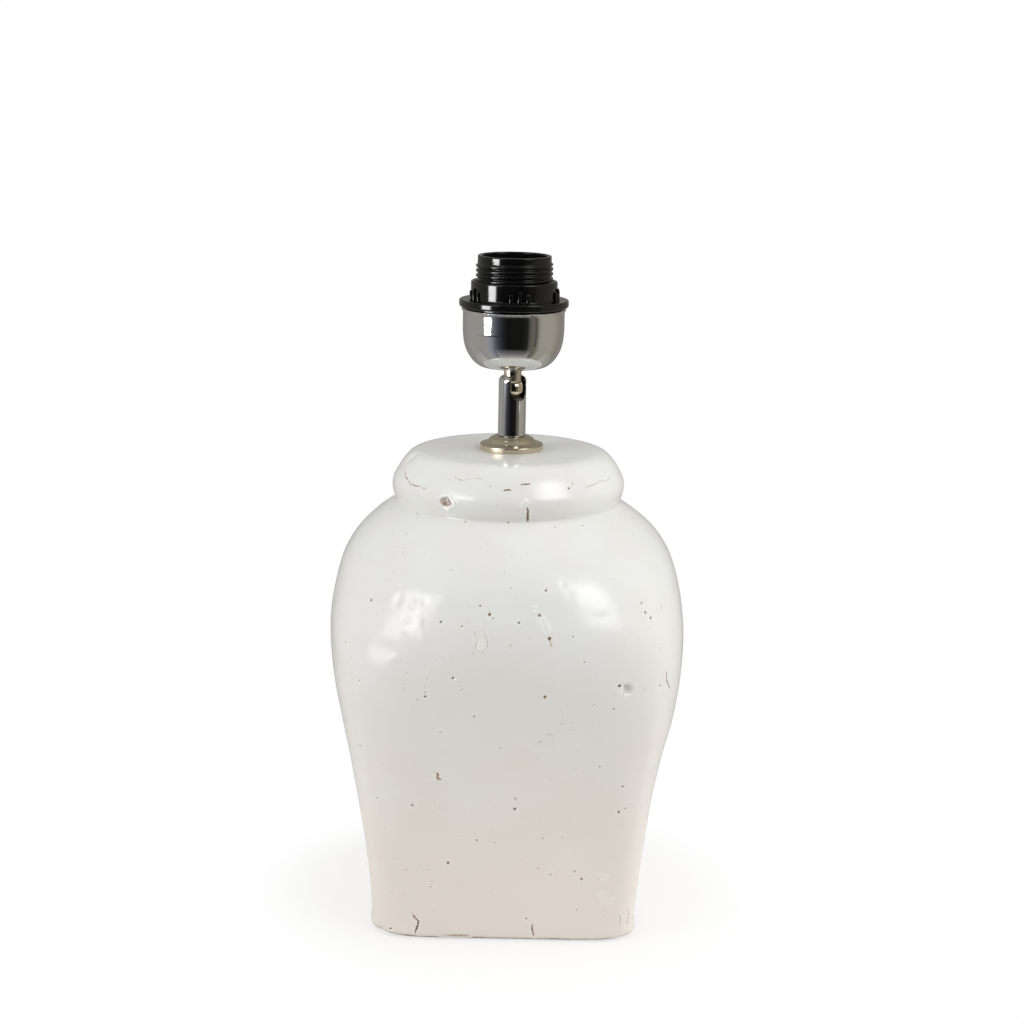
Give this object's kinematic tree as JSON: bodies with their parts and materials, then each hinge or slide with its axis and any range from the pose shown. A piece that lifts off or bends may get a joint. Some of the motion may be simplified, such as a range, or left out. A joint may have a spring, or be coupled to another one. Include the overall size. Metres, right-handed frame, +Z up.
{
  "type": "table lamp base",
  "caption": "Glazed clay jar lamp base, square at the foot and round at the neck, with a slotted swivel, a chrome cup and a screw lampholder with a shade ring.",
  "frame": {"origin": "centre of the underside of the felt pad, on the jar's upright axis", "axes": "+Z up along the jar's axis, -Y the front that the picture shows, +Y the side of the cable outlet"},
  "size_m": [0.1848, 0.1848, 0.3451],
  "materials": {
    "glazed_clay": "gloss",
    "felt": "matte",
    "rubber_bush": "matte",
    "nickel_plate": "satin",
    "chrome_plate": "polished",
    "zinc_steel": "satin",
    "spring_steel": "satin",
    "brass": "satin",
    "black_plastic": "gloss",
    "block_plastic": "matte"
  },
  "bodies": {
    "base": {"ceramic_jar": "glazed_clay", "felt_base_pad": "felt", "cable_grommet": "rubber_bush", "vase_cap": "nickel_plate", "threaded_tube": "zinc_steel", "retaining_washer": "zinc_steel", "spring_washer": "spring_steel", "lock_nut": "zinc_steel"},
    "swivel": {"swivel_barrel": "chrome_plate", "swivel_bush": "brass", "disc_spring": "spring_steel", "ball_seat": "block_plastic"},
    "head": {"ball_stem": "nickel_plate", "stem_grub_screw": "spring_steel", "chrome_cup": "chrome_plate", "cup_nut": "zinc_steel", "socket_sleeve": "black_plastic", "contact_block": "block_plastic", "contact_spring": "spring_steel", "side_contact": "brass", "contact_rivets": "brass", "terminal_blocks": "brass", "terminal_screws": "zinc_steel"},
    "ring": {"shade_ring": "black_plastic"},
    "plunger": {"center_contact": "brass"}
  },
  "joints": [
    {"name": "swivel_turn", "type": "hinge", "parent": "base", "child": "swivel", "pos_m": [0, 0, 0.2516], "axis": [0, 0, 1], "range_deg": [-170, 170]},
    {"name": "head_tilt", "type": "hinge", "parent": "swivel", "child": "head", "pos_m": [0, 0, 0.2767], "axis": [0.829, 0.5592, 0], "range_deg": [0, 90]},
    {"name": "shade_ring_lift", "type": "slide", "parent": "head", "child": "ring", "axis": [0, 0, 1], "range_m": [0, 0.03]},
    {"name": "contact_press", "type": "slide", "parent": "head", "child": "plunger", "axis": [0, 0, -1], "range_m": [0, 0.0015], "stiffness_N_per_m": 1500, "deforming": ["contact_spring"]}
  ]
}
